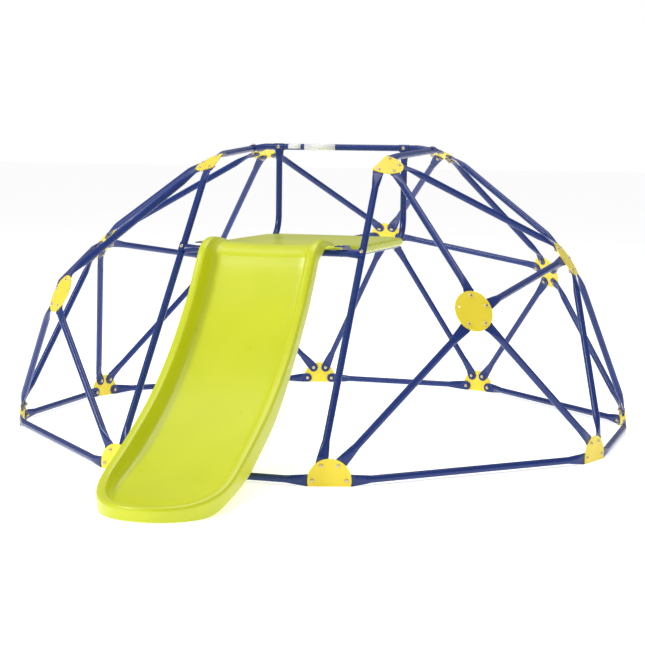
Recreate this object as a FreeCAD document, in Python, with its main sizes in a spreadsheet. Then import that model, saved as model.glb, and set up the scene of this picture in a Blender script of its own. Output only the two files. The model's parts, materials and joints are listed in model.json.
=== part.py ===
"""Dome climber with slide: a bolted dome of flattened-end tubes with a platform and a moulded slide.

Frame: millimetres, +Z up from the ground, +X to the right, the slide runs out towards -Y.
The origin lies on the ground under the middle of the outer box; the dome's own centre
sits DOME_BACK further back, because the slide reaches out at the front only.
"""
import FreeCAD, Part
import math
import os

import Sketcher

V = FreeCAD.Vector
X_AXIS, Y_AXIS, Z_AXIS = V(1, 0, 0), V(0, 1, 0), V(0, 0, 1)

# name: (value, what it is); lengths in mm, angles in degrees
DIMENSIONS = {
    "dome_back": (337.85, "dome centre behind the origin"),
    "base_radius": (1215, "ring of the eight base plates"),
    "base_height": (20, "bolt-circle centre of a base plate above the ground"),
    "base_angle": (18.5, "base plates stand this far either side of the four main directions"),
    "corner_front_radius": (1107, "middle plates at the two front corners"),
    "corner_front_height": (569, ""),
    "corner_rear_radius": (1077, "middle plates at the two rear corners"),
    "corner_rear_height": (594, ""),
    "side_radius": (969, "middle plates on the left and right"),
    "side_height": (705, ""),
    "rear_radius": (935, "middle plate at the rear"),
    "rear_height": (718, ""),
    "corner_tilt": (25.4, "upward tilt of a corner plate's face"),
    "side_tilt": (35.4, "upward tilt of a side or rear plate's face"),
    "top_front_side": (340, "front top plates from the middle plane"),
    "top_front_ahead": (366, "front top plates ahead of the dome centre"),
    "top_front_height": (1061, ""),
    "top_front_tilt": (63, ""),
    "top_front_heading": (52, "their faces look this far right or left of straight back, turned forward"),
    "top_front_turn": (48.8, "direction of their first hole"),
    "top_rear_side": (374, "rear top plates from the middle plane"),
    "top_rear_behind": (357, ""),
    "top_rear_height": (1097, ""),
    "top_rear_tilt": (65.6, ""),
    "top_rear_turn": (147.5, "direction of their first hole"),
    "tube_radius": (12.7, "25.4 mm steel tube"),
    "tube_wall": (1.5, ""),
    "tab_width": (40, "tube pressed flat: half its girth"),
    "tab_thickness": (4, ""),
    "tab_straight": (29, "bolt to the bend of the flattened end"),
    "flare_length": (62, "from the bend to the full round tube"),
    "plate_radius": (74, ""),
    "plate_thickness": (3, ""),
    "hole_circle": (57, "radius of the ring of bolt holes"),
    "hole_radius": (4.2, "clearance hole for an M8 bolt"),
    "bolt_radius": (3.9, ""),
    "bolt_head_radius": (7, ""),
    "bolt_head_height": (4.2, ""),
    "bolt_length": (17, "under the head"),
    "hex_socket": (5, "across flats"),
    "nut_width": (13, "across flats"),
    "nut_height": (6.5, ""),
    "nut_bore": (4, ""),
    "crossbar_ahead": (661, "front crossbar ahead of the dome centre"),
    "crossbar_height": (755, ""),
    "rear_bar_behind": (198, "rear crossbar behind the dome centre"),
    "rear_bar_height": (1121, ""),
    "cup_length": (42, "saddle end that hugs another tube"),
    "cup_wall": (2.4, ""),
    "cup_gap": (0.4, "paint and play between a saddle and its tube"),
    "horn_length": (58, "saddle end narrowing to the round tube"),
    "cross_bolt_length": (41, "bolts that pass right through a tube"),
    "bar_side": (268, "hanging bars from the middle plane"),
    "bar_run_height": (735, "level part under the platform"),
    "bar_bend": (105, "bend radius"),
    "bar_ramp": (118, "level part ends this far behind the front crossbar"),
    "screw_radius": (2.9, "platform screws"),
    "screw_head": (6, ""),
    "screw_length": (31, ""),
    "screw_inset": (95, "platform screws from the board's front and rear edges"),
    "platform_side": (290, ""),
    "platform_ahead": (585, "front edge ahead of the dome centre"),
    "platform_behind": (150, ""),
    "platform_top": (763.5, ""),
    "platform_thickness": (33, ""),
    "platform_corner": (45, ""),
    "platform_edge": (11, "rounded rim"),
    "notch_width": (46, "rear notches where the hanging bars pass down"),
    "notch_depth": (62, ""),
    "slide_half_width": (222, ""),
    "slide_rim": (33, "width of the rolled rim"),
    "slide_skirt": (75, "outer side wall below the rim, at its deepest"),
    "slide_wall": (4, "moulded plastic thickness"),
    "foot_ahead": (1866, "front of the slide's foot ahead of the dome centre"),
    "nose_ahead": (1555, "the slide's plan starts to round this far ahead of the dome centre"),
    "lip_height": (47, "closed front lip above the ground"),
    "foot_bed_depth": (42, "bed below the rim where the foot begins"),
    "basin_height": (25, "bed behind the front lip above the ground"),
    "heel_ahead": (1755, "the foot leaves the ground this far ahead of the dome centre"),
    "heel_rise": (18.5, "and rises this steeply to the rear"),
    "foot_overlap": (45, "the foot reaches back under the tray"),
    "label_thickness": (0.4, "blank bands wrapped on the rear crossbar"),
}

doc = FreeCAD.newDocument("dome_climber")
sheet = doc.addObject("Spreadsheet::Sheet", "dims")
for row, (name, (value, _)) in enumerate(DIMENSIONS.items(), start=1):
    sheet.set(f"B{row}", name)
    sheet.set(f"C{row}", str(value))
    sheet.setAlias(f"C{row}", name)
doc.recompute()


def dim(name):
    """A driving dimension, read from the sheet."""
    return float(getattr(sheet, name))


def bind(obj, **expressions):
    """Binds properties of obj to expressions written with the sheet's aliases as <dims>."""
    for prop, text in expressions.items():
        obj.setExpression(prop, text)


# ---------------------------------------------------------------- dome skeleton

class Seat:
    """Where a plate sits: centre of its inner face, outward normal n, and in-plane axes u, v."""

    def __init__(self, centre, heading, tilt, turn=0.0):
        a, e = math.radians(heading), math.radians(tilt)
        self.centre = centre
        self.n = V(math.cos(a) * math.cos(e), math.sin(a) * math.cos(e), math.sin(e))
        flat_u = V(-math.sin(a), math.cos(a), 0)
        flat_v = self.n.cross(flat_u)
        t = math.radians(turn)
        self.u = flat_u * math.cos(t) + flat_v * math.sin(t)
        self.v = self.n.cross(self.u)

    def point(self, angle, radius):
        """A point on the inner face at an angle from u."""
        a = math.radians(angle)
        return self.centre + (self.u * math.cos(a) + self.v * math.sin(a)) * radius

    def placement(self):
        return FreeCAD.Placement(self.centre, FreeCAD.Rotation(self.u, self.v, self.n, "ZXY"))


def polar(heading, radius, height):
    a = math.radians(heading)
    return V(radius * math.cos(a), radius * math.sin(a) + dim("dome_back"), height)


def at(x, y, z):
    """A point given from the dome centre at ground level."""
    return V(x, y + dim("dome_back"), z)


def base_seats():
    """B0 is at the front right; they are numbered anticlockwise seen from above."""
    a = dim("base_angle")
    headings = [a - 90, -a, a, 90 - a, 90 + a, 180 - a, 180 + a, 270 - a]
    return {f"B{i}": Seat(polar(h, dim("base_radius"), dim("base_height")), h, 0)
            for i, h in enumerate(headings)}


def middle_seats():
    """M0 is at the front right; the front middle place is left open for the slide."""
    kinds = ["corner_front", "side", "corner_rear", "rear", "corner_rear", "side", "corner_front"]
    seats = {}
    for i, kind in enumerate(kinds):
        heading = 45 * i - 45
        tilt, turn = (dim("corner_tilt"), 18) if kind.startswith("corner") else (dim("side_tilt"), 0)
        centre = polar(heading, dim(kind + "_radius"), dim(kind + "_height"))
        seats[f"M{i}"] = Seat(centre, heading, tilt, turn)
    return seats


def top_seats():
    seats = {}
    x, y, z = dim("top_front_side"), -dim("top_front_ahead"), dim("top_front_height")
    tilt, heading, turn = dim("top_front_tilt"), dim("top_front_heading"), dim("top_front_turn")
    seats["FR"] = Seat(at(x, y, z), -heading, tilt, turn - 180)
    seats["FL"] = Seat(at(-x, y, z), heading - 180, tilt, 180 - turn)
    x, y, z = dim("top_rear_side"), dim("top_rear_behind"), dim("top_rear_height")
    tilt, turn = dim("top_rear_tilt"), dim("top_rear_turn")
    seats["BR"] = Seat(at(x, y, z), 45, tilt, turn)
    seats["BL"] = Seat(at(-x, y, z), 135, tilt, -turn)
    return seats


SEATS = {**base_seats(), **middle_seats(), **top_seats()}
RINGS = {"half": [0, 60, 120, 180], "five": [72 * k for k in range(5)], "six": [60 * k for k in range(6)]}
SIX_HOLED = ("M1", "M3", "M5")
PLATE_KIND = {name: "half" if name[0] in "BF" else "six" if name in SIX_HOLED else "five" for name in SEATS}

# strut name: (seat, hole number, seat, hole number)
STRUTS = {}
RIGHT_TO_LEFT = ["front_right", "right", "rear_right", "rear", "rear_left", "left", "front_left", "front"]
for i, name in enumerate(RIGHT_TO_LEFT):
    STRUTS["base_tube_" + name] = (f"B{i}", 0, f"B{(i + 1) % 8}", 3)
LEG_HOLES = {"five": (3, 4), "six": (4, 5)}
for i, name in enumerate(RIGHT_TO_LEFT[:7]):
    first, second = LEG_HOLES[PLATE_KIND[f"M{i}"]]
    STRUTS[f"leg_{name}_a"] = (f"M{i}", first, f"B{i}", 1)
    STRUTS[f"leg_{name}_b"] = (f"M{i}", second, f"B{i + 1}", 2)
for i in range(6):
    last = 3 if PLATE_KIND[f"M{i + 1}"] == "six" else 2
    STRUTS[f"middle_tube_{RIGHT_TO_LEFT[i]}_{RIGHT_TO_LEFT[i + 1]}"] = (f"M{i}", 0, f"M{i + 1}", last)
STRUTS.update({
    "long_tube_right": ("FR", 0, "B0", 2),
    "long_tube_left": ("FL", 3, "B7", 1),
    "upper_tube_front_right": ("FR", 1, "M0", 1),
    "upper_tube_front_right_side": ("FR", 2, "M1", 2),
    "upper_tube_rear_right_side": ("BR", 1, "M1", 1),
    "upper_tube_rear_right": ("BR", 2, "M2", 1),
    "upper_tube_rear_right_middle": ("BR", 3, "M3", 2),
    "upper_tube_rear_left_middle": ("BL", 0, "M3", 1),
    "upper_tube_rear_left": ("BL", 1, "M4", 1),
    "upper_tube_rear_left_side": ("BL", 2, "M5", 2),
    "upper_tube_front_left_side": ("FL", 1, "M5", 1),
    "upper_tube_front_left": ("FL", 2, "M6", 1),
    "top_tube_right": ("FR", 3, "BR", 0),
    "top_tube_left": ("FL", 0, "BL", 3),
})


def hole(seat_name, number):
    """Centre of a bolt hole on the inner face of a plate."""
    angle = RINGS[PLATE_KIND[seat_name]][number]
    return SEATS[seat_name].point(angle, dim("hole_circle"))


# ---------------------------------------------------------------- tubes with flattened ends

def section(origin, across, along, half_width, half_thick):
    """A closed oval section, half_width along across."""
    through = along.cross(across).normalize()
    wide, deep = (half_width, half_thick) if half_width >= half_thick else (half_thick, half_width)
    oval = Part.Circle(V(), Z_AXIS, wide) if wide - deep < 1e-9 else Part.Ellipse(V(), wide, deep)
    wire = Part.Wire(oval.toShape())
    x_dir, y_dir = (across, through) if half_width >= half_thick else (through, across * -1)
    wire.Placement = FreeCAD.Placement(origin, FreeCAD.Rotation(x_dir, y_dir, along, "ZXY"))
    return wire


def flare(bend, tab_dir, tube_dir, across, inset=0.0):
    """The stretch where a flattened end opens out into the round tube."""
    r, half, length = dim("tube_radius"), dim("tab_width") / 2, dim("flare_length")
    stages = [(bend - tab_dir * 6, tab_dir, half - 0.3, 1.8),
              (bend + tube_dir * length * 0.45, tube_dir, half * 0.84, 8.2),
              (bend + tube_dir * length, tube_dir, r, r)]
    if inset:
        stages[0] = (bend + tube_dir * length * 0.12, tube_dir, half * 0.95, 2.6)
    wires = []
    for origin, along, a, b in stages:
        side = V(across - along * across.dot(along)).normalize()
        wires.append(section(origin, side, along, a - inset, b - inset))
    return Part.makeLoft(wires, True)


def tab(centre, outward, tab_dir, across):
    """A flattened, round-nosed end with its bolt hole; its outer face lies on the plate."""
    t, half = dim("tab_thickness"), dim("tab_width") / 2
    low = centre - outward * t
    nose = Part.makeCylinder(half, t, low, outward)
    strip = Part.makeBox(2 * half, dim("tab_straight") - 3, t)
    strip.Placement = FreeCAD.Placement(low - across * half, FreeCAD.Rotation(across, tab_dir, outward, "ZXY"))
    if across.cross(tab_dir).dot(outward) < 0:
        strip.Placement = FreeCAD.Placement(low + across * half,
                                            FreeCAD.Rotation(across * -1, tab_dir, outward, "ZXY"))
    return nose.fuse(strip)


def tube_end(seat_name, number, towards):
    """Bend point, tab direction and cross direction of one end of a strut."""
    n = SEATS[seat_name].n
    centre = hole(seat_name, number)
    run = towards - centre
    tab_dir = V(run - n * run.dot(n)).normalize()
    across = n.cross(tab_dir).normalize()
    bend = centre - n * (dim("tab_thickness") / 2) + tab_dir * dim("tab_straight")
    return centre, n, tab_dir, across, bend


def strut(seat_a, hole_a, seat_b, hole_b):
    """One tube with both ends flattened, bent to lie on their plates, and drilled."""
    ends = [tube_end(seat_a, hole_a, hole(seat_b, hole_b)), tube_end(seat_b, hole_b, hole(seat_a, hole_a))]
    bends = [end[4] for end in ends]
    solids, hollows, mouths = [], [], []
    for k, (centre, n, tab_dir, across, bend) in enumerate(ends):
        tube_dir = (bends[1 - k] - bend).normalize()
        solids += [tab(centre, n, tab_dir, across), flare(bend, tab_dir, tube_dir, across)]
        hollows.append(flare(bend, tab_dir, tube_dir, across, dim("tube_wall")))
        mouths.append(bend + tube_dir * dim("flare_length"))
    run = mouths[1] - mouths[0]
    outer = Part.makeCylinder(dim("tube_radius"), run.Length, mouths[0], run)
    inner = Part.makeCylinder(dim("tube_radius") - dim("tube_wall"), run.Length, mouths[0], run)
    body = outer.multiFuse(solids)
    body = body.cut(inner.multiFuse(hollows))
    for centre, n, *_ in ends:
        body = body.cut(Part.makeCylinder(dim("hole_radius"), 3 * dim("tab_thickness"),
                                          centre - n * 2 * dim("tab_thickness"), n))
    return body.removeSplitter()


# ---------------------------------------------------------------- document objects

def feature(name, shape):
    obj = doc.addObject("Part::Feature", name)
    obj.Shape = shape
    obj.Label = name
    return obj


def plane_of(body, role):
    return next(f for f in body.Origin.OriginFeatures if f.Role == role)


def new_sketch(body, name, role="XY_Plane"):
    sketch = body.newObject("Sketcher::SketchObject", name)
    sketch.AttachmentSupport = (plane_of(body, role), "")
    sketch.MapMode = "FlatFace"
    return sketch


def round_outline(sketch, radius_expr):
    sketch.addGeometry(Part.Circle(V(), Z_AXIS, 10))
    sketch.addConstraint(Sketcher.Constraint("Coincident", 0, 3, -1, 1))
    index = sketch.addConstraint(Sketcher.Constraint("Radius", 0, 10))
    sketch.setExpression(f"Constraints[{index}]", radius_expr)


def half_outline(sketch):
    """A disc with a straight edge base_height below its centre."""
    r, drop = dim("plate_radius"), dim("base_height")
    x = math.sqrt(r * r - drop * drop)
    low = math.asin(drop / r)
    sketch.addGeometry(Part.ArcOfCircle(Part.Circle(V(), Z_AXIS, r), -low, math.pi + low))
    sketch.addGeometry(Part.LineSegment(V(-x, -drop, 0), V(x, -drop, 0)))
    sketch.addConstraint(Sketcher.Constraint("Coincident", 0, 3, -1, 1))
    sketch.addConstraint(Sketcher.Constraint("Coincident", 0, 2, 1, 1))
    sketch.addConstraint(Sketcher.Constraint("Coincident", 0, 1, 1, 2))
    sketch.addConstraint(Sketcher.Constraint("Horizontal", 1))
    radius = sketch.addConstraint(Sketcher.Constraint("Radius", 0, r))
    height = sketch.addConstraint(Sketcher.Constraint("DistanceY", 1, 1, -1, 1, drop))
    sketch.setExpression(f"Constraints[{radius}]", "dims.plate_radius")
    sketch.setExpression(f"Constraints[{height}]", "dims.base_height")


def plate_body(name, kind):
    """A yellow connector plate: padded outline with a ring of drilled holes."""
    body = doc.addObject("PartDesign::Body", name)
    outline = new_sketch(body, name + "_outline")
    if kind == "half":
        half_outline(outline)
    else:
        round_outline(outline, "dims.plate_radius")
    pad = body.newObject("PartDesign::Pad", name + "_pad")
    pad.Profile = outline
    bind(pad, Length="dims.plate_thickness")
    drill = new_sketch(body, name + "_drill")
    drill.addGeometry(Part.Circle(V(dim("hole_circle"), 0, 0), Z_AXIS, dim("hole_radius")))
    drill.addConstraint(Sketcher.Constraint("PointOnObject", 0, 3, -1))
    ring = drill.addConstraint(Sketcher.Constraint("DistanceX", -1, 1, 0, 3, dim("hole_circle")))
    size = drill.addConstraint(Sketcher.Constraint("Radius", 0, dim("hole_radius")))
    drill.setExpression(f"Constraints[{ring}]", "dims.hole_circle")
    drill.setExpression(f"Constraints[{size}]", "dims.hole_radius")
    doc.recompute()
    pocket = body.newObject("PartDesign::Pocket", name + "_hole")
    pocket.Profile = drill
    pocket.Type = "ThroughAll"
    pocket.Reversed = True
    doc.recompute()
    pattern = body.newObject("PartDesign::PolarPattern", name + "_holes")
    pattern.Originals = [pocket]
    pattern.Axis = (drill, ["N_Axis"])
    count = len(RINGS[kind])
    pattern.Angle = 180 if kind == "half" else 360
    pattern.Occurrences = count
    body.Tip = pattern
    doc.recompute()
    return body


def bolt_master(name, radius_key, head_key, length_key):
    """Button-head bolt along Z; the underside of its head is at the origin, the head above."""
    body = doc.addObject("PartDesign::Body", name + "_master")
    sketch = new_sketch(body, name + "_profile", "XZ_Plane")
    r, head, rise, length = (dim(k) for k in (radius_key, head_key, "bolt_head_height", length_key))
    crown = head * 0.5
    rim = rise * 0.22
    corners = [V(0, rise, 0), V(crown, rise, 0), V(head, rim, 0), V(head, 0, 0), V(r, 0, 0),
               V(r, 0.8 - length, 0), V(r - 0.8, -length, 0), V(0, -length, 0)]
    dome = Part.Arc(corners[1], V(head * 0.84, rise * 0.72, 0), corners[2])
    sketch.addGeometry(Part.LineSegment(corners[0], corners[1]))
    sketch.addGeometry(dome)
    for a, b in zip(corners[2:], corners[3:] + corners[:1]):
        sketch.addGeometry(Part.LineSegment(a, b))
    doc.recompute()
    turned = body.newObject("PartDesign::Revolution", name + "_turned")
    turned.Profile = sketch
    turned.ReferenceAxis = (sketch, ["V_Axis"])
    turned.Angle = 360
    doc.recompute()
    cutter = doc.addObject("Part::Prism", name + "_socket")
    cutter.Polygon = 6
    bind(cutter, Circumradius="dims.hex_socket / 2 / cos(30 deg)", Height="dims.bolt_head_height")
    cutter.Placement.Base = V(0, 0, rise - 2.4)
    bolt = doc.addObject("Part::Cut", name + "_shape")
    bolt.Base, bolt.Tool = body, cutter
    doc.recompute()
    return bolt


def nut_master():
    """Hexagon nut along Z with its bearing face at the origin, going down."""
    hexagon = doc.addObject("Part::Prism", "nut_hexagon")
    hexagon.Polygon = 6
    bind(hexagon, Circumradius="dims.nut_width / 2 / cos(30 deg)", Height="dims.nut_height")
    chamfer = doc.addObject("Part::Cone", "nut_chamfer")
    bind(chamfer, Radius1="dims.nut_width * 0.5 - 0.3 + dims.nut_height * 1.6",
         Radius2="dims.nut_width * 0.5 + 0.3", Height="dims.nut_height")
    body = doc.addObject("Part::Common", "nut_body")
    body.Base, body.Tool = hexagon, chamfer
    bore = doc.addObject("Part::Cylinder", "nut_bore_tool")
    bind(bore, Radius="dims.nut_bore", Height="dims.nut_height + 2")
    bore.Placement.Base = V(0, 0, -1)
    nut = doc.addObject("Part::Cut", "nut_shape")
    nut.Base, nut.Tool = body, bore
    doc.recompute()
    return nut


def group(name, master, placements):
    """A node of identical pieces: links to one master, each with its own placement."""
    links = []
    for k, placement in enumerate(placements):
        link = doc.addObject("App::Link", f"{name}_{k}")
        link.LinkedObject = master
        link.LinkTransform = False
        link.Placement = placement
        links.append(link)
    compound = doc.addObject("Part::Compound", name)
    compound.Links = links
    compound.Label = name
    return compound


def axis_placement(base, axis, across=None):
    """Placement whose Z runs along axis."""
    side = across or (X_AXIS if abs(axis.x) < 0.9 else Y_AXIS)
    side = V(side - axis * side.dot(axis)).normalize()
    return FreeCAD.Placement(base, FreeCAD.Rotation(side, axis.cross(side), axis, "ZXY"))


# ---------------------------------------------------------------- crossbars and hanging bars

class Crossing:
    """Where a bar's saddle end hugs another tube: its bolt goes through along face, head first."""

    def __init__(self, centre, held_axis, bar_dir, face):
        self.centre, self.bar_dir = centre, V(bar_dir).normalize()
        self.held_axis = V(held_axis).normalize()
        self.face = V(face - self.held_axis * face.dot(self.held_axis)).normalize()

    def horn_end(self):
        return self.centre + self.bar_dir * dim("horn_length")

    def bolt_placement(self):
        reach = dim("tube_radius") + dim("cup_gap") + dim("cup_wall")
        return axis_placement(self.centre + self.face * reach, self.face, self.held_axis)

    def nut_placement(self):
        return axis_placement(self.centre - self.face * dim("tube_radius"), self.face * -1, self.held_axis)

    def drill(self):
        return Part.makeCylinder(dim("hole_radius"), 80, self.centre - self.face * 40, self.face)


def point_on(strut_name, y):
    """The point of a strut's axis at depth y, and the direction of the axis."""
    seat_a, hole_a, seat_b, hole_b = STRUTS[strut_name]
    ends = [tube_end(seat_a, hole_a, hole(seat_b, hole_b)), tube_end(seat_b, hole_b, hole(seat_a, hole_a))]
    start, run = ends[0][4], ends[1][4] - ends[0][4]
    return start + run * ((y - start.y) / run.y), V(run).normalize()


def crossings():
    """The saddle joints: two on the long front tubes, two on the top tubes, two on the rear crossbar."""
    found = {}
    front, rear = at(0, -dim("crossbar_ahead"), 0).y, at(0, dim("rear_bar_behind"), 0).y
    for side, sign in (("right", 1), ("left", -1)):
        centre, along = point_on("long_tube_" + side, front)
        found["front_" + side] = Crossing(centre, along, X_AXIS * -sign, Y_AXIS * -1)
        centre, along = point_on("top_tube_" + side, rear)
        knee = V(centre.x - sign * dim("horn_length"), centre.y, dim("rear_bar_height"))
        found["rear_" + side] = Crossing(centre, along, knee - centre, Z_AXIS)
        hang = V(sign * dim("bar_side"), rear, dim("rear_bar_height"))
        found["hanging_" + side] = Crossing(hang, X_AXIS, Z_AXIS * -1, Y_AXIS * -1)
    return found


def flared_end(joint):
    """The end of a bar that widens into a cup wrapped round three sides of the tube it meets."""
    r, wall, length = dim("tube_radius"), dim("cup_wall"), dim("cup_length")
    r_in = r + dim("cup_gap")
    start = joint.centre - joint.held_axis * (length / 2)
    sleeve = Part.makeCylinder(r_in + wall, length, start, joint.held_axis)
    bore = Part.makeCylinder(r_in, 3 * length, start - joint.held_axis * length, joint.held_axis)
    open_side = V(joint.face * -0.8 - joint.bar_dir * 0.6).normalize()
    block = Part.makeBox(80, 80, 80, V(-40, -40, 0))
    block.Placement = axis_placement(joint.centre + open_side * 3, open_side, joint.held_axis)
    stages = [(6, length / 2 - 1, r * 0.9), (24, length * 0.42, r), (dim("horn_length"), r, r)]
    side = V(joint.held_axis - joint.bar_dir * joint.held_axis.dot(joint.bar_dir)).normalize()
    wires = [section(joint.centre + joint.bar_dir * d, side, joint.bar_dir, a, b) for d, a, b in stages]
    horn = Part.makeLoft(wires, True)
    whole = sleeve.cut(block).fuse(horn).cut(bore).cut(joint.drill())
    return max(whole.Solids, key=lambda solid: solid.Volume)


def crossbar(right, left, drills=()):
    """A straight tube between two saddle ends, hollow, with rounded knees where the ends turn."""
    r = dim("tube_radius")
    start, run = right.horn_end(), left.horn_end() - right.horn_end()
    tube = Part.makeCylinder(r, run.Length, start, run)
    knees = [Part.makeSphere(r, joint.horn_end()) for joint in (right, left)]
    bar = tube.multiFuse(knees + [flared_end(right), flared_end(left)])
    inside = V(run).normalize()
    bar = bar.cut(Part.makeCylinder(r - dim("tube_wall"), run.Length, start, run))
    for drill in drills:
        bar = bar.cut(drill)
    return max(bar.Solids, key=lambda solid: solid.Volume)


def clamp_axis(sign):
    """Foot of the upright bolt that holds a hanging bar's front end to the front crossbar."""
    return at(sign * dim("bar_side"), -dim("crossbar_ahead"), 0)


def screw_spots(sign):
    """Two platform screws under each hanging bar."""
    inset = dim("screw_inset")
    return [at(sign * dim("bar_side"), y, 0) for y in (dim("platform_behind") - inset, inset - dim("platform_ahead"))]


def hanging_bar(side, sign):
    """Saddle on the rear crossbar, upright, bend, level run, flattened front end on the front crossbar."""
    r, wall, half, thick = dim("tube_radius"), dim("tube_wall"), dim("tab_width") / 2, dim("tab_thickness")
    joint = CROSSINGS["hanging_" + side]
    x, y_rear, y_front = joint.centre.x, joint.centre.y, clamp_axis(sign).y
    run_z, bend = dim("bar_run_height"), dim("bar_bend")
    top = joint.horn_end()
    turn_start, turn_end = V(x, y_rear, run_z + bend), V(x, y_rear - bend, run_z)
    turn_middle = V(x, y_rear - bend * (1 - math.sqrt(0.5)), run_z + bend * (1 - math.sqrt(0.5)))
    ramp = V(x, y_front + dim("bar_ramp"), run_z)
    level = dim("crossbar_height") + r + thick / 2 + 0.3
    tab_start, tab_end = V(x, y_front + 40, level), V(x, y_front - 20, level)
    path = Part.Wire([Part.LineSegment(top, turn_start).toShape(),
                      Part.Arc(turn_start, turn_middle, turn_end).toShape(),
                      Part.LineSegment(turn_end, ramp).toShape()])
    rings = [Part.Wire(Part.makeCircle(radius, top, Z_AXIS)) for radius in (r, r - wall)]
    outer, inner = (path.makePipeShell([ring], True, True) for ring in rings)
    forward, climb = Y_AXIS * -1, tab_start - ramp
    stages = [(ramp, forward, r, r), (ramp + climb * 0.45, V(climb).normalize(), half * 0.8, 8.5),
              (tab_start + forward * 8, forward, half - 0.3, 1.8)]
    swage = Part.makeLoft([section(p, X_AXIS, along, a, b) for p, along, a, b in stages], True)
    strap = Part.makeBox(2 * half, tab_start.y - tab_end.y, thick, V(x - half, tab_end.y, level - thick / 2))
    bar = outer.multiFuse([flared_end(joint), swage, strap]).cut(inner)
    bar = bar.cut(Part.makeCylinder(dim("hole_radius"), 2000, clamp_axis(sign), Z_AXIS))
    for spot in screw_spots(sign):
        bar = bar.cut(Part.makeCylinder(dim("screw_radius") + 0.3, 200, spot + Z_AXIS * (run_z - 100), Z_AXIS))
    return max(bar.Solids, key=lambda solid: solid.Volume)


def blank_labels():
    """Two plain white bands round the rear crossbar."""
    r, thick = dim("tube_radius"), dim("label_thickness")
    y, z = at(0, dim("rear_bar_behind"), 0).y, dim("rear_bar_height")
    bands = []
    for x, width, angle in ((-234, 64, 250), (-165, 143, 360)):
        turn = FreeCAD.Rotation(Y_AXIS, -90)
        tube = Part.makeCylinder(r + thick + 0.05, width, V(), Z_AXIS, angle)
        tube = tube.cut(Part.makeCylinder(r + 0.05, width, V()))
        tube.Placement = FreeCAD.Placement(V(x + width, y, z), turn)
        if angle < 360:
            tube.rotate(V(x, y, z), X_AXIS, 145)
        bands.append(tube)
    return Part.makeCompound(bands)


# ---------------------------------------------------------------- platform

def platform():
    """Thick plastic board with a rounded rim, rear notches and grooves for the bars."""
    body = doc.addObject("PartDesign::Body", "platform_board")
    sketch = new_sketch(body, "platform_outline")
    corners = [V(0, 0, 0), V(10, 0, 0), V(10, 10, 0), V(0, 10, 0)]
    for a, b in zip(corners, corners[1:] + corners[:1]):
        sketch.addGeometry(Part.LineSegment(a, b))
    for k in range(4):
        sketch.addConstraint(Sketcher.Constraint("Coincident", k, 2, (k + 1) % 4, 1))
        sketch.addConstraint(Sketcher.Constraint("Horizontal" if k % 2 == 0 else "Vertical", k))
    sketch.addConstraint(Sketcher.Constraint("Coincident", 0, 1, -1, 1))
    width = sketch.addConstraint(Sketcher.Constraint("DistanceX", 0, 1, 0, 2, 10))
    depth = sketch.addConstraint(Sketcher.Constraint("DistanceY", 1, 1, 1, 2, 10))
    sketch.setExpression(f"Constraints[{width}]", "dims.platform_side * 2")
    sketch.setExpression(f"Constraints[{depth}]", "dims.platform_behind + dims.platform_ahead")
    pad = body.newObject("PartDesign::Pad", "platform_pad")
    pad.Profile = sketch
    bind(pad, Length="dims.platform_thickness")
    doc.recompute()
    upright = [f"Edge{k}" for k, edge in enumerate(pad.Shape.Edges, 1)
               if abs(edge.tangentAt(edge.FirstParameter).z) > 0.99]
    corner = body.newObject("PartDesign::Fillet", "platform_corners")
    corner.Base = (pad, upright)
    bind(corner, Radius="dims.platform_corner")
    doc.recompute()
    flat_edges = [f"Edge{k}" for k, edge in enumerate(corner.Shape.Edges, 1) if edge.BoundBox.ZLength < 1e-6]
    rim = body.newObject("PartDesign::Fillet", "platform_rim")
    rim.Base = (corner, flat_edges)
    bind(rim, Radius="dims.platform_edge")
    body.Tip = rim
    bottom = dim("platform_top") - dim("platform_thickness")
    body.Placement.Base = at(-dim("platform_side"), -dim("platform_ahead"), bottom)
    doc.recompute()
    tools = bar_room(1) + bar_room(-1)
    tool = feature("platform_grooves", tools[0].multiFuse(tools[1:]))
    board = doc.addObject("Part::Cut", "platform")
    board.Base, board.Tool = body, tool
    doc.recompute()
    return board


def bar_room(sign):
    """The space a hanging bar needs in the board: groove, rear notch, front notch and screw holes."""
    r, run_z, width = dim("tube_radius") + 0.6, dim("bar_run_height"), dim("notch_width")
    foot = clamp_axis(sign)
    front, rear = at(0, -dim("platform_ahead"), 0).y, at(0, dim("platform_behind"), 0).y
    length = rear - front + 60
    groove = Part.makeCylinder(r, length, V(foot.x, front - 30, run_z), Y_AXIS)
    below = Part.makeBox(2 * r, length, 40, V(foot.x - r, front - 30, run_z - 40))
    deep = dim("notch_depth") - width / 2
    notch = Part.makeBox(width, deep + 20, 120, V(foot.x - width / 2, rear - deep, run_z - 60))
    heel = Part.makeCylinder(width / 2, 120, V(foot.x, rear - deep, run_z - 60))
    clear = Part.makeBox(width, foot.y + dim("bar_ramp") + 14 - front + 20, 120,
                         V(foot.x - width / 2, front - 20, run_z - 60))
    screws = [Part.makeCylinder(dim("screw_radius") + 0.05, 7, spot + Z_AXIS * (run_z + r - 1))
              for spot in screw_spots(sign)]
    return [groove, below, notch, heel, clear] + screws


# ---------------------------------------------------------------- slide

# rim line of the slide in its middle plane: (ahead of the dome centre, height)
SLIDE_RIM = [(600, 782), (650, 789), (705, 796), (760, 792), (815, 765), (865, 690), (945, 578),
             (1090, 422), (1270, 281), (1500, 156), (1666, 84)]


def rim_curve():
    curve = Part.BSplineCurve()
    curve.interpolate([at(0, -ahead, height) for ahead, height in SLIDE_RIM])
    return curve


def ease(low, high, share):
    """A smooth step from 0 at low to 1 at high."""
    s = min(max((share - low) / (high - low), 0), 1)
    return s * s * (3 - 2 * s)


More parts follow.
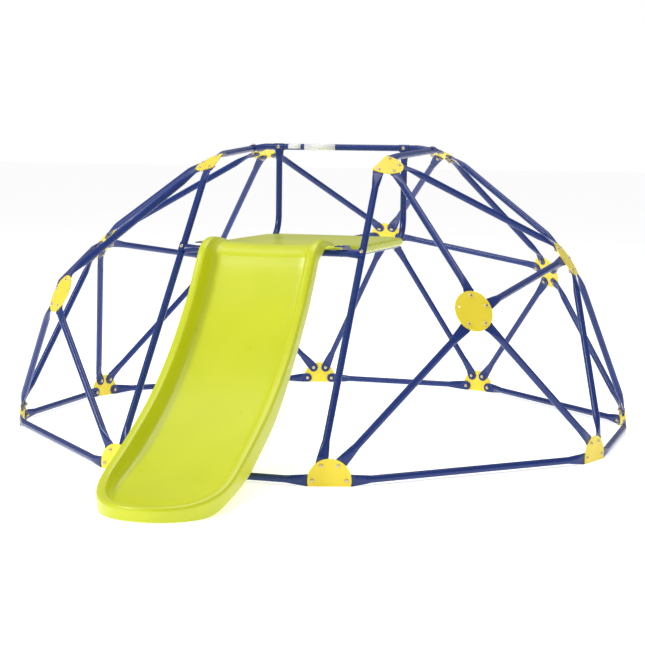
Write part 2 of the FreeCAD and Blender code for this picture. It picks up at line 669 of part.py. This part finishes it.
def bed_depth(share):
    """How far the bed lies below the rim, along the slide from head (0) to foot (1)."""
    head, full, foot = 14, 60, dim("foot_bed_depth")
    return head + (full - head) * ease(0.04, 0.2, share) + (foot - full) * ease(0.8, 1, share)


def skirt_depth(share):
    """The outer wall is short over the crossbar, deepest low down and shorter again at the foot."""
    short, upper, deep, foot = 17, 56, dim("slide_skirt"), 54
    return (short + (upper - short) * ease(0.05, 0.12, share) + (deep - upper) * ease(0.45, 0.7, share)
            + (foot - deep) * ease(0.85, 1, share))


def slide_section(half, depth, skirt):
    """Half outline of the tray, upper face from the skirt's foot to the middle, as (across, up)."""
    rim = dim("slide_rim")
    round_out, lean = 11, 14
    wall_top, wall_foot = half - rim, half - rim - lean
    fillet = min(34, depth * 0.55)
    upper = [(half, -skirt), (half, -round_out), (half - 0.29 * round_out, -0.29 * round_out),
             (half - round_out, 0), (wall_top + 8, 0), (wall_top + 2, -2.5), (wall_top - 1, -8),
             (wall_foot, -depth + fillet * 0.8), (wall_foot - fillet * 0.3, -depth + fillet * 0.28),
             (wall_foot - fillet, -depth), (0, -depth - 3)]
    return upper


def offset_below(points, gap):
    """The same outline moved inwards by gap, towards the underside."""
    moved = []
    for k, (x, y) in enumerate(points):
        x_prev, y_prev = points[max(k - 1, 0)]
        x_next, y_next = points[min(k + 1, len(points) - 1)]
        dx, dy = x_next - x_prev, y_next - y_prev
        size = math.hypot(dx, dy)
        side = 1 if k < 4 else -1
        moved.append((x - side * gap * abs(dy) / size, y - gap * abs(dx) / size))
    moved[0] = (points[0][0] - gap, points[0][1])
    moved[-1] = (0, points[-1][1] - gap)
    return moved


def slide():
    """Moulded tray that hooks over the crossbar and runs down to a closed, rounded foot."""
    curve = rim_curve()
    shares = [0, 0.025, 0.05, 0.075, 0.1, 0.14, 0.2, 0.26, 0.36, 0.48, 0.6, 0.72, 0.82, 0.9, 0.95, 1.0]
    low, high = curve.FirstParameter, curve.LastParameter
    gap = dim("slide_wall")
    wires = []
    for share in shares:
        parameter = low + (high - low) * share
        point, tangent = curve.value(parameter), V(*curve.tangent(parameter)[0])
        normal = V(X_AXIS.cross(tangent) * -1).normalize()
        if normal.z < 0:
            normal = normal * -1
        skirt = min(skirt_depth(share), point.z / normal.z - 0.5)
        upper = slide_section(half_width(dim("dome_back") - point.y), bed_depth(share), skirt)
        under = offset_below(upper, gap)
        right = upper[:-1]
        left = [(-x, y) for x, y in reversed(right)]
        under_right = under[:-1]
        under_left = [(-x, y) for x, y in under_right]
        loop = right + [upper[-1]] + left + under_left + [under[-1]] + list(reversed(under_right))
        points = [point + X_AXIS * x + normal * y for x, y in loop]
        wires.append(Part.makePolygon(points + points[:1]))
    tray = Part.makeLoft(wires, True)
    foot = slide_foot(curve.value(high))
    whole = tray.fuse(foot).removeSplitter()
    if len(whole.Solids) != 1:
        raise RuntimeError("the slide's tray and foot do not meet")
    return whole


def half_width(ahead):
    """Half the slide's width, which narrows as an ellipse from where the nose begins."""
    share = max((ahead - dim("nose_ahead")) / (dim("foot_ahead") - dim("nose_ahead")), 0)
    return dim("slide_half_width") * math.sqrt(1 - share * share)


def foot_outline(join, inset, height):
    """Plan of the foot: straight sides that reach back under the tray, and a rounded nose."""
    half, reach = dim("slide_half_width") - inset, dim("foot_ahead") - dim("nose_ahead") - inset
    nose_y = at(0, -dim("nose_ahead"), 0).y
    first = math.asin((nose_y - join.y) / reach)
    angles = [first + (math.pi - 2 * first) * k / 16 for k in range(17)]
    points = [V(half * math.cos(t), nose_y - reach * math.sin(t), height) for t in angles]
    nose = Part.BSplineCurve()
    nose.interpolate(points)
    right, left = (p + Y_AXIS * (dim("foot_overlap") + inset) for p in (points[0], points[-1]))
    sides = [(points[-1], left), (left, right), (right, points[0])]
    return Part.Face(Part.Wire([nose.toShape()] + [Part.LineSegment(a, b).toShape() for a, b in sides]))


def half_space(y, z, fall, above):
    """A large block whose flat side passes through (y, z) and rises to the rear by fall degrees."""
    block = Part.makeBox(2000, 3000, 600, V(-1000, -1500, 0 if above else -600))
    block.Placement = FreeCAD.Placement(V(0, y, z), FreeCAD.Rotation(X_AXIS, fall))
    return block


def slide_foot(join):
    """The rounded front of the slide: a closed lip round a basin that carries the bed on."""
    lip, wall = dim("lip_height"), dim("slide_wall")
    reach = join.y - at(0, -dim("foot_ahead"), 0).y
    rim_fall = math.degrees(math.atan2(join.z - lip, reach))
    bed_z = join.z - dim("foot_bed_depth") + 3
    bed_fall = math.degrees(math.atan2(bed_z - dim("basin_height"), reach))
    block = foot_outline(join, 0, 0).extrude(Z_AXIS * 200)
    block = block.cut(half_space(join.y, join.z, rim_fall, True))
    block = block.cut(half_space(at(0, -dim("heel_ahead"), 0).y, 0, dim("heel_rise"), False))
    basin = foot_outline(join, dim("slide_rim"), 0).extrude(Z_AXIS * 200)
    basin = basin.common(half_space(join.y, bed_z, bed_fall, True))
    under = foot_outline(join, wall * 3, -1).extrude(Z_AXIS * 200)
    under = under.common(half_space(join.y, bed_z - wall - 2, bed_fall, False))
    return block.cut(basin).cut(under)


# ---------------------------------------------------------------- assembly

CROSSINGS = crossings()
SIDES = (("right", 1), ("left", -1))
nodes = []

for strut_name, ends in STRUTS.items():
    tube = strut(*ends)
    for key, joint in CROSSINGS.items():
        if strut_name in (key.replace("front", "long_tube"), key.replace("rear", "top_tube")):
            tube = tube.cut(joint.drill())
    nodes.append(feature(strut_name, tube))

masters = {kind: plate_body(f"{kind}_plate_master", kind) for kind in RINGS}
PLATE_NODES = {
    "base_plates": [f"B{i}" for i in range(8)],
    "corner_plates": ["M0", "M2", "M4", "M6"],
    "side_plates": ["M1", "M3", "M5"],
    "top_plates": ["FR", "FL", "BR", "BL"],
}
for node_name, seats in PLATE_NODES.items():
    master = masters[PLATE_KIND[seats[0]]]
    nodes.append(group(node_name, master, [SEATS[s].placement() for s in seats]))

clamp_drills = [Part.makeCylinder(dim("hole_radius"), 2000, clamp_axis(sign), Z_AXIS) for _, sign in SIDES]
hang_drills = [CROSSINGS["hanging_" + side].drill() for side, _ in SIDES]
for name, key, drills in (("front_crossbar", "front_", clamp_drills), ("rear_crossbar", "rear_", hang_drills)):
    nodes.append(feature(name, crossbar(CROSSINGS[key + "right"], CROSSINGS[key + "left"], drills)))
for side, sign in SIDES:
    nodes.append(feature("hanging_bar_" + side, hanging_bar(side, sign)))
nodes.append(feature("blank_labels", blank_labels()))
nodes.append(platform())
nodes.append(feature("slide", slide()))

bolt = bolt_master("plate_bolt", "bolt_radius", "bolt_head_radius", "bolt_length")
cross_bolt = bolt_master("cross_bolt", "bolt_radius", "bolt_head_radius", "cross_bolt_length")
screw = bolt_master("platform_screw", "screw_radius", "screw_head", "screw_length")
nut = nut_master()
bolt_places, nut_places = [], []
for seat_a, hole_a, seat_b, hole_b in STRUTS.values():
    for seat_name, number in ((seat_a, hole_a), (seat_b, hole_b)):
        n, centre = SEATS[seat_name].n, hole(seat_name, number)
        bolt_places.append(axis_placement(centre + n * dim("plate_thickness"), n))
        nut_places.append(axis_placement(centre - n * dim("tab_thickness"), n * -1))
nodes.append(group("plate_bolts", bolt, bolt_places))
nodes.append(group("plate_nuts", nut, nut_places))

clamp_top = dim("crossbar_height") + dim("tube_radius") + dim("tab_thickness") + 0.3
clamp_low = dim("crossbar_height") - dim("tube_radius")
cross_places = [joint.bolt_placement() for joint in CROSSINGS.values()]
cross_places += [axis_placement(clamp_axis(sign) + Z_AXIS * clamp_top, Z_AXIS) for _, sign in SIDES]
cross_nut_places = [joint.nut_placement() for joint in CROSSINGS.values()]
cross_nut_places += [axis_placement(clamp_axis(sign) + Z_AXIS * clamp_low, Z_AXIS * -1) for _, sign in SIDES]
nodes.append(group("cross_bolts", cross_bolt, cross_places))
nodes.append(group("cross_nuts", nut, cross_nut_places))
screw_level = Z_AXIS * (dim("bar_run_height") - dim("tube_radius"))
screw_places = [axis_placement(spot + screw_level, Z_AXIS * -1) for _, sign in SIDES for spot in screw_spots(sign)]
nodes.append(group("platform_screws", screw, screw_places))

doc.recompute()

os.makedirs("parts", exist_ok=True)
for obj in doc.Objects:
    if any(flag in obj.State for flag in ("Invalid", "Error")):
        raise RuntimeError(f"{obj.Name} failed: {obj.State}")
for node in nodes:
    shape = node.Shape
    if shape.isNull() or not shape.isValid():
        raise RuntimeError(f"{node.Label} has no valid shape")
    shape.exportStep(f"parts/{node.Label}.step")
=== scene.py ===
import json
import math

import bmesh
import bpy
from mathutils import Matrix, Vector


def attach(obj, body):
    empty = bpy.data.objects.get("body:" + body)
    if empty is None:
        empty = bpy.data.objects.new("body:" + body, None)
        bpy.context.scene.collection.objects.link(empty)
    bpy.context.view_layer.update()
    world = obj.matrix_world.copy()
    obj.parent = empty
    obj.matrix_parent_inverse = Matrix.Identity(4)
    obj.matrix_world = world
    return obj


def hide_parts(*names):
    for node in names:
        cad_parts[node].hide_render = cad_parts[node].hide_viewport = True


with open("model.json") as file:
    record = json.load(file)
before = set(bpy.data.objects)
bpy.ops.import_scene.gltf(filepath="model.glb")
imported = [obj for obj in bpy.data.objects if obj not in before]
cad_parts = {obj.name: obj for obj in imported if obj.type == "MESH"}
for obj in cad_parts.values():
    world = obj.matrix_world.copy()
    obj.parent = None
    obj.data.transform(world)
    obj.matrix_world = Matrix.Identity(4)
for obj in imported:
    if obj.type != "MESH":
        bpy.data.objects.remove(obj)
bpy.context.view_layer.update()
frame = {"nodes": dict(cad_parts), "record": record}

# ---------------------------------------------------------------- sizes, in metres

DOME_BACK = 0.33785          # dome centre behind the origin
SLIDE_HALF = 0.222
WALL = 0.004                 # moulded plastic thickness
FOOT_AHEAD = 1.866           # front of the foot ahead of the dome centre
NOSE_AHEAD = 1.590           # where the plan starts to round
FOOT_START = 1.666           # where the tray turns into the foot
NOSE_FULLNESS = 0.92         # 1 is a plain ellipse, less is squarer
LIFT = 0.0006                # the foot's edge stands this far above the floor

# rim line of the slide in its middle plane: (ahead of the dome centre, height)
RIM_LINE = [(0.600, 0.782), (0.650, 0.789), (0.705, 0.796), (0.760, 0.792), (0.815, 0.765), (0.865, 0.690),
            (0.945, 0.578), (1.090, 0.422), (1.270, 0.281), (1.500, 0.156), (1.666, 0.084),
            (1.770, 0.058), (1.866, 0.047)]


# ---------------------------------------------------------------- shader node groups

def new_group(name, inputs, outputs):
    """A shader node group with its sockets; inputs are (name, kind, default)."""
    tree = bpy.data.node_groups.new(name, "ShaderNodeTree")
    for label, kind, default in inputs:
        socket = tree.interface.new_socket(name=label, in_out="INPUT", socket_type="NodeSocket" + kind)
        socket.default_value = default
    for label, kind in outputs:
        tree.interface.new_socket(name=label, in_out="OUTPUT", socket_type="NodeSocket" + kind)
    return tree, tree.nodes.new("NodeGroupInput"), tree.nodes.new("NodeGroupOutput")


def noise_node(tree, detail, roughness):
    place = tree.nodes.new("ShaderNodeTexCoord")
    noise = tree.nodes.new("ShaderNodeTexNoise")
    noise.inputs["Detail"].default_value = detail
    noise.inputs["Roughness"].default_value = roughness
    tree.links.new(place.outputs["Object"], noise.inputs["Vector"])
    return noise


def span_node(tree, low=0.3, high=0.7):
    span = tree.nodes.new("ShaderNodeMapRange")
    span.inputs["From Min"].default_value = low
    span.inputs["From Max"].default_value = high
    return span


def uneven_group():
    """A value that drifts between Low and High over the surface."""
    tree, put, out = new_group("uneven finish", [("Scale", "Float", 8.0), ("Low", "Float", 0.2),
                                                 ("High", "Float", 0.4)], [("Value", "Float")])
    noise, span = noise_node(tree, 4.0, 0.6), span_node(tree)
    tree.links.new(put.outputs["Scale"], noise.inputs["Scale"])
    tree.links.new(noise.outputs["Fac"], span.inputs["Value"])
    tree.links.new(put.outputs["Low"], span.inputs["To Min"])
    tree.links.new(put.outputs["High"], span.inputs["To Max"])
    tree.links.new(span.outputs["Result"], out.inputs["Value"])
    return tree


def tint_group():
    """Two close shades of one finish, mixed in soft patches."""
    tree, put, out = new_group("shade drift", [("Scale", "Float", 5.0), ("Shade A", "Color", (1, 1, 1, 1)),
                                               ("Shade B", "Color", (1, 1, 1, 1))], [("Color", "Color")])
    noise, span = noise_node(tree, 3.0, 0.55), span_node(tree)
    mix = tree.nodes.new("ShaderNodeMix")
    mix.data_type = "RGBA"
    tree.links.new(put.outputs["Scale"], noise.inputs["Scale"])
    tree.links.new(noise.outputs["Fac"], span.inputs["Value"])
    tree.links.new(span.outputs["Result"], mix.inputs["Factor"])
    tree.links.new(put.outputs["Shade A"], mix.inputs["A"])
    tree.links.new(put.outputs["Shade B"], mix.inputs["B"])
    tree.links.new(mix.outputs["Result"], out.inputs["Color"])
    return tree


def peel_group():
    """Fine ripple of a coated or moulded skin, as a normal."""
    tree, put, out = new_group("skin ripple", [("Scale", "Float", 400.0), ("Strength", "Float", 0.05),
                                               ("Depth", "Float", 0.0002)], [("Normal", "Vector")])
    noise = noise_node(tree, 2.0, 0.5)
    bump = tree.nodes.new("ShaderNodeBump")
    tree.links.new(put.outputs["Scale"], noise.inputs["Scale"])
    tree.links.new(noise.outputs["Fac"], bump.inputs["Height"])
    tree.links.new(put.outputs["Strength"], bump.inputs["Strength"])
    tree.links.new(put.outputs["Depth"], bump.inputs["Distance"])
    tree.links.new(bump.outputs["Normal"], out.inputs["Normal"])
    return tree


UNEVEN, TINT, PEEL = uneven_group(), tint_group(), peel_group()


def placed(tree, group, **values):
    node = tree.nodes.new("ShaderNodeGroup")
    node.node_tree = group
    for label, value in values.items():
        node.inputs[label.replace("_", " ")].default_value = value
    return node


def finish_material(name, shades, shade_scale, gloss, gloss_scale, ripple, **constants):
    """A finish with drifting shade and roughness and a fine ripple."""
    material = bpy.data.materials.new(name)
    material.use_nodes = True
    tree = material.node_tree
    shader = tree.nodes["Principled BSDF"]
    tint = placed(tree, TINT, Scale=shade_scale, Shade_A=(*shades[0], 1), Shade_B=(*shades[1], 1))
    rough = placed(tree, UNEVEN, Scale=gloss_scale, Low=gloss[0], High=gloss[1])
    skin = placed(tree, PEEL, Scale=ripple[0], Strength=ripple[1], Depth=ripple[2])
    tree.links.new(tint.outputs["Color"], shader.inputs["Base Color"])
    tree.links.new(rough.outputs["Value"], shader.inputs["Roughness"])
    tree.links.new(skin.outputs["Normal"], shader.inputs["Normal"])
    for label, value in constants.items():
        shader.inputs[label.replace("_", " ")].default_value = value
    return material


MATERIALS = {
    "blue_tube": finish_material("blue powder coat", ((0.004, 0.024, 0.165), (0.007, 0.032, 0.20)), 6,
                                 (0.24, 0.34), 30, (900, 0.06, 0.0002), Specular_IOR_Level=0.4,
                                 Coat_Weight=0.15, Coat_Roughness=0.12),
    "yellow_plate": finish_material("yellow powder coat", ((0.93, 0.74, 0.03), (0.97, 0.79, 0.05)), 9,
                                    (0.34, 0.46), 40, (700, 0.12, 0.0002), Coat_Weight=0.1),
    "lime_plastic": finish_material("lime moulded plastic", ((0.60, 0.66, 0.008), (0.655, 0.71, 0.014)), 3,
                                    (0.27, 0.38), 12, (500, 0.06, 0.0003), Coat_Weight=0.15,
                                    Coat_Roughness=0.2),
    "zinc_fastener": finish_material("zinc plated steel", ((0.62, 0.50, 0.30), (0.74, 0.66, 0.50)), 60,
                                     (0.24, 0.4), 90, (1500, 0.08, 0.0001), Metallic=0.9),
    "white_label": finish_material("blank white band", ((0.78, 0.78, 0.77), (0.86, 0.86, 0.85)), 12,
                                   (0.4, 0.55), 50, (600, 0.06, 0.0001)),
}

# ---------------------------------------------------------------- frame pieces

SMOOTH_ANGLE = math.radians(35)


def dress(node, material):
    """Gives a frame piece its finish and soft shading."""
    node.data.materials.clear()
    node.data.materials.append(material)
    node.data.shade_smooth()
    node.data.set_sharp_from_angle(angle=SMOOTH_ANGLE)


SLOTS = {entry["node"]: entry["material_slot"] for entry in frame["record"]["subparts"]}
for node_name, node in frame["nodes"].items():
    dress(node, MATERIALS[SLOTS[node_name]])


# ---------------------------------------------------------------- slide

LINE_STEPS = 12              # spans of the smooth line between two rim points
RUN_STEP = 0.012             # the rim's direction is taken over this far each way

# depth of the bed and of the outer wall below the rim: at the head, then each
# (change, from, to), where from and to are shares of the way to the foot
BED_HEAD = 0.014
BED_CHANGES = [(0.046, 0.04, 0.2), (-0.018, 0.8, 1.0), (-0.018, 1.0, 1.14)]
SKIRT_HEAD = 0.017
SKIRT_CHANGES = [(0.039, 0.05, 0.12), (0.019, 0.45, 0.7), (-0.021, 0.85, 1.0)]
SKIRT_GROUNDED = (1.0, 1.09)  # over this stretch the outer wall comes down to the ground

SKIRT_MIDDLE = (0.55, 0.008)  # middle row of the outer wall: share of its depth, plus this
WALL_MIDDLE, WALL_FOOT = 0.037, 0.042    # inner wall, in from the edge
WALL_MIDDLE_SHARE = 0.55     # depth of that middle row as a share of the bed's
FILLET = 0.018               # round between the inner wall and the bed
ROLL_LIMIT = 0.5             # the rim's roll and the fillet reach at most this share of the bed's depth
BED_CROWN = 0.003            # the bed dips this far at its middle


def smooth_line(points, steps):
    """A Catmull-Rom line through points, steps spans between each pair."""
    ends = [points[0] * 2 - points[1]] + points + [points[-1] * 2 - points[-2]]
    line = []
    for a, b, c, d in zip(ends, ends[1:], ends[2:], ends[3:]):
        for k in range(steps):
            t = k / steps
            line.append(0.5 * (2 * b + (c - a) * t + (2 * a - 5 * b + 4 * c - d) * t * t
                               + (3 * b - a - 3 * c + d) * t ** 3))
    return line + [points[-1]]


class RimLine:
    """The rim of the slide as a path: place, run and upward normal at a length along it."""

    def __init__(self):
        self.line = smooth_line([Vector((0, DOME_BACK - ahead, height)) for ahead, height in RIM_LINE],
                                LINE_STEPS)
        self.lengths = [0.0]
        for a, b in zip(self.line, self.line[1:]):
            self.lengths.append(self.lengths[-1] + (b - a).length)
        self.total = self.lengths[-1]

    def at(self, length):
        length = min(max(length, 0), self.total)
        k = 0
        while k < len(self.line) - 2 and self.lengths[k + 1] < length:
            k += 1
        share = (length - self.lengths[k]) / (self.lengths[k + 1] - self.lengths[k])
        return self.line[k].lerp(self.line[k + 1], share)

    def place(self, length):
        """The point at a length, and the direction square to the rim there."""
        before, after = self.at(length - RUN_STEP), self.at(length + RUN_STEP)
        run = (after - before).normalized()
        return self.at(length), Vector((0, run.z, -run.y))

    def length_at(self, ahead):
        """Length along the rim where it is this far ahead of the dome centre."""
        target = DOME_BACK - ahead
        k = min(range(len(self.line)), key=lambda i: abs(self.line[i].y - target))
        return self.lengths[k]


def ease(low, high, value):
    s = min(max((value - low) / (high - low), 0), 1)
    return s * s * (3 - 2 * s)


RIM = RimLine()
NOSE = RIM.length_at(NOSE_AHEAD)
FOOT = RIM.length_at(FOOT_START)


def depth_along(head, changes, share):
    """A depth that eases through each (change, from, to) in turn."""
    for change, low, high in changes:
        head += change * ease(low, high, share)
    return head


def bed_depth(length):
    return depth_along(BED_HEAD, BED_CHANGES, length / FOOT)


def skirt_depth(length, height, rise):
    """Outer wall: short over the crossbar, deepest low down, on the ground at the foot."""
    share = length / FOOT
    depth = depth_along(SKIRT_HEAD, SKIRT_CHANGES, share)
    ground = (height - LIFT) / rise
    return min(depth + (ground - depth) * ease(*SKIRT_GROUNDED, share), ground)


SIDE_STEPS, NOSE_STEPS, BED_STEPS = 44, 26, 8
RIM_ROLL = [(0.0, 0.020), (0.0, 0.010), (0.0035, 0.003), (0.011, 0.0), (0.024, 0.0), (0.030, 0.002),
            (0.0335, 0.007)]         # (in from the edge, below the rim line)


def outline(inset):
    """The slide's plan unrolled, as (length, across), from the left head corner round to the right one."""
    half, reach = SLIDE_HALF - inset, RIM.total - NOSE - inset
    left = [(NOSE * k / SIDE_STEPS, -half) for k in range(SIDE_STEPS)]
    nose = []
    for k in range(NOSE_STEPS + 1):
        angle = math.pi * k / NOSE_STEPS
        across = math.copysign(abs(math.cos(angle)) ** NOSE_FULLNESS, math.cos(angle))
        nose.append((NOSE + reach * max(math.sin(angle), 0) ** NOSE_FULLNESS, -half * across))
    return left + nose + [(length, -across) for length, across in reversed(left)]


def surface_point(length, across, depth):
    centre, up = RIM.place(length)
    point = centre + Vector((across, 0, 0)) - up * depth
    point.z = max(point.z, LIFT)
    return point


def wall_rows(edge_length):
    """The (inset, depth) steps from the skirt's foot over the rim to the edge of the bed."""
    centre, up = RIM.place(edge_length)
    skirt, bed = skirt_depth(edge_length, centre.z, up.z), bed_depth(edge_length)
    rows = [(0.0, skirt), (0.0, skirt * SKIRT_MIDDLE[0] + SKIRT_MIDDLE[1])]
    rows += [(inset, min(depth, bed * ROLL_LIMIT)) for inset, depth in RIM_ROLL]
    fillet = min(FILLET, bed * ROLL_LIMIT)
    rows += [(WALL_MIDDLE, bed * WALL_MIDDLE_SHARE), (WALL_FOOT, bed - fillet * 0.75),
             (WALL_FOOT + fillet * 0.35, bed - fillet * 0.22), (WALL_FOOT + fillet, bed)]
    return rows


def slide_mesh():
    """Moulded tray: skirt, rolled rim, inner wall and bed, in one skin."""
    mesh = bpy.data.meshes.new("slide shell")
    bm = bmesh.new()
    edge = outline(0)
    count = len(edge)
    all_rows = [wall_rows(length) for length, _ in edge]
    rings = []
    for j in range(len(all_rows[0])):
        ring = []
        for i in range(count):
            inset, depth = all_rows[i][j]
            length, across = outline(inset)[i]
            ring.append(bm.verts.new(surface_point(length, across, depth)))
        rings.append(ring)
    for ring_a, ring_b in zip(rings, rings[1:]):
        for i in range(count - 1):
            bm.faces.new((ring_a[i], ring_b[i], ring_b[i + 1], ring_a[i + 1]))
    inner, half_count = rings[-1], count // 2
    rungs = []
    for i in range(half_count):
        left, right = inner[i], inner[count - 1 - i]
        rung = [left]
        for k in range(1, BED_STEPS):
            share = k / BED_STEPS
            crown = Vector((0, 0, -BED_CROWN * math.sin(math.pi * share)))
            rung.append(bm.verts.new(left.co.lerp(right.co, share) + crown))
        rungs.append(rung + [right])
    for rung_a, rung_b in zip(rungs, rungs[1:]):
        for k in range(BED_STEPS):
            bm.faces.new((rung_a[k], rung_b[k], rung_b[k + 1], rung_a[k + 1]))
    for k in range(BED_STEPS):
        bm.faces.new((rungs[-1][k], inner[half_count], rungs[-1][k + 1]))
    bmesh.ops.recalc_face_normals(bm, faces=bm.faces)
    bed = [face for face in bm.faces if rungs[8][4] in face.verts]
    if bed[0].normal.z < 0:
        bmesh.ops.reverse_faces(bm, faces=bm.faces)
    bm.to_mesh(mesh)
    bm.free()
    mesh.shade_smooth()
    return mesh


slide = bpy.data.objects.new("slide_shell", slide_mesh())
bpy.context.scene.collection.objects.link(slide)
thickness = slide.modifiers.new("thickness", "SOLIDIFY")
thickness.thickness = WALL
thickness.offset = -1
rounding = slide.modifiers.new("rounding", "SUBSURF")
rounding.levels = rounding.render_levels = 2
slide.data.materials.append(MATERIALS["lime_plastic"])
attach(slide, "root")
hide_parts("slide")

# ---------------------------------------------------------------- blank bands on the rear crossbar

BAR_Y, BAR_HEIGHT, BAR_RADIUS = DOME_BACK + 0.198, 1.121, 0.0127
BAND_LIFT, BAND_STEPS = 0.00035, 40
# (left end, right end, first angle, last angle round the bar; 90 degrees is the top)
BANDS = [(-0.226, -0.172, -35, 215), (-0.156, -0.023, 0, 360)]


def bands_mesh():
    """Thin plain sleeves laid on the bar."""
    mesh = bpy.data.meshes.new("blank bands")
    bm = bmesh.new()
    for left, right, first, last in BANDS:
        rows = []
        for k in range(BAND_STEPS + 1):
            angle = math.radians(first + (last - first) * k / BAND_STEPS)
            y = BAR_Y - (BAR_RADIUS + BAND_LIFT) * math.cos(angle)
            z = BAR_HEIGHT + (BAR_RADIUS + BAND_LIFT) * math.sin(angle)
            rows.append((bm.verts.new((left, y, z)), bm.verts.new((right, y, z))))
        for (a, b), (c, d) in zip(rows, rows[1:]):
            bm.faces.new((a, b, d, c))
    bmesh.ops.remove_doubles(bm, verts=bm.verts, dist=1e-6)
    bmesh.ops.recalc_face_normals(bm, faces=bm.faces)
    bm.to_mesh(mesh)
    bm.free()
    mesh.shade_smooth()
    return mesh


bands = bpy.data.objects.new("blank_bands", bands_mesh())
bpy.context.scene.collection.objects.link(bands)
skin = bands.modifiers.new("thickness", "SOLIDIFY")
skin.thickness, skin.offset = 0.0003, 1
bands.data.materials.append(MATERIALS["white_label"])
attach(bands, "root")
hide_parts("blank_labels")

# ---------------------------------------------------------------- floor, light and camera

FLOOR_NEAR, FLOOR_STEP, FLOOR_ROWS = -30, 6, 17
FLOOR_ACROSS = (-60, -20, 20, 60)


def floor_sheet():
    """A wide pale floor."""
    mesh = bpy.data.meshes.new("floor")
    bm = bmesh.new()
    rows = []
    for k in range(FLOOR_ROWS):
        y = FLOOR_NEAR + FLOOR_STEP * k
        rows.append([bm.verts.new((x, y, 0)) for x in FLOOR_ACROSS])
    for row_a, row_b in zip(rows, rows[1:]):
        for k in range(len(FLOOR_ACROSS) - 1):
            bm.faces.new((row_a[k], row_a[k + 1], row_b[k + 1], row_b[k]))
    bm.to_mesh(mesh)
    bm.free()
    mesh.shade_smooth()
    return mesh


floor = bpy.data.objects.new("floor", floor_sheet())
bpy.context.scene.collection.objects.link(floor)
floor.data.materials.append(finish_material("pale floor", ((0.90, 0.90, 0.90), (0.93, 0.93, 0.93)), 0.6,
                                            (0.7, 0.85), 2, (60, 0.02, 0.0005), Specular_IOR_Level=0.1,
                                            Emission_Color=(1, 1, 1, 1), Emission_Strength=0.62))


def soft_light(name, place, target, size, power):
    lamp = bpy.data.lights.new(name, "AREA")
    lamp.shape, lamp.size, lamp.energy = "SQUARE", size, power
    holder = bpy.data.objects.new(name, lamp)
    bpy.context.scene.collection.objects.link(holder)
    aim = (Vector(target) - Vector(place)).to_track_quat("-Z", "Y")
    holder.matrix_world = Matrix.Translation(place) @ aim.to_matrix().to_4x4()


soft_light("key light", (-4.5, -5.0, 5.5), (0, 0, 0.4), 2.6, 300)
soft_light("overhead light", (0.5, 1.0, 6.5), (0, 0, 0.3), 5.0, 190)
soft_light("fill light", (5.5, -5.5, 3.0), (0, 0, 0.5), 4.0, 18)

ROOM_LEVEL, BACKDROP_LEVEL = 0.38, 1.0    # light from all round, and how bright the backdrop shows

world = bpy.data.worlds.new("studio")
world.use_nodes = True
background = world.node_tree.nodes["Background"]
background.inputs["Color"].default_value = (1, 1, 1, 1)
path = world.node_tree.nodes.new("ShaderNodeLightPath")
level = world.node_tree.nodes.new("ShaderNodeMapRange")
level.inputs["To Min"].default_value = ROOM_LEVEL
level.inputs["To Max"].default_value = BACKDROP_LEVEL
world.node_tree.links.new(path.outputs["Is Camera Ray"], level.inputs["Value"])
world.node_tree.links.new(level.outputs["Result"], background.inputs["Strength"])
bpy.context.scene.world = world
bpy.context.scene.view_settings.view_transform = "Standard"

CAMERA_PLACE = Vector((1.9985, DOME_BACK - 6.3505, 1.1412))
CAMERA_RIGHT = Vector((0.95345, 0.30131, 0.01169))
CAMERA_UP = Vector((-0.04211, 0.09467, 0.99461))
CAMERA_BACK = Vector((0.29859, -0.94881, 0.10295))
lens = bpy.data.cameras.new("camera")
lens.lens, lens.sensor_width = 92.6, 36
lens.shift_x, lens.shift_y = -0.0035, -0.0132
camera = bpy.data.objects.new("camera", lens)
bpy.context.scene.collection.objects.link(camera)
turn = Matrix((CAMERA_RIGHT, CAMERA_UP, CAMERA_BACK)).transposed()
camera.matrix_world = Matrix.Translation(CAMERA_PLACE) @ turn.to_4x4()
bpy.context.scene.camera = camera
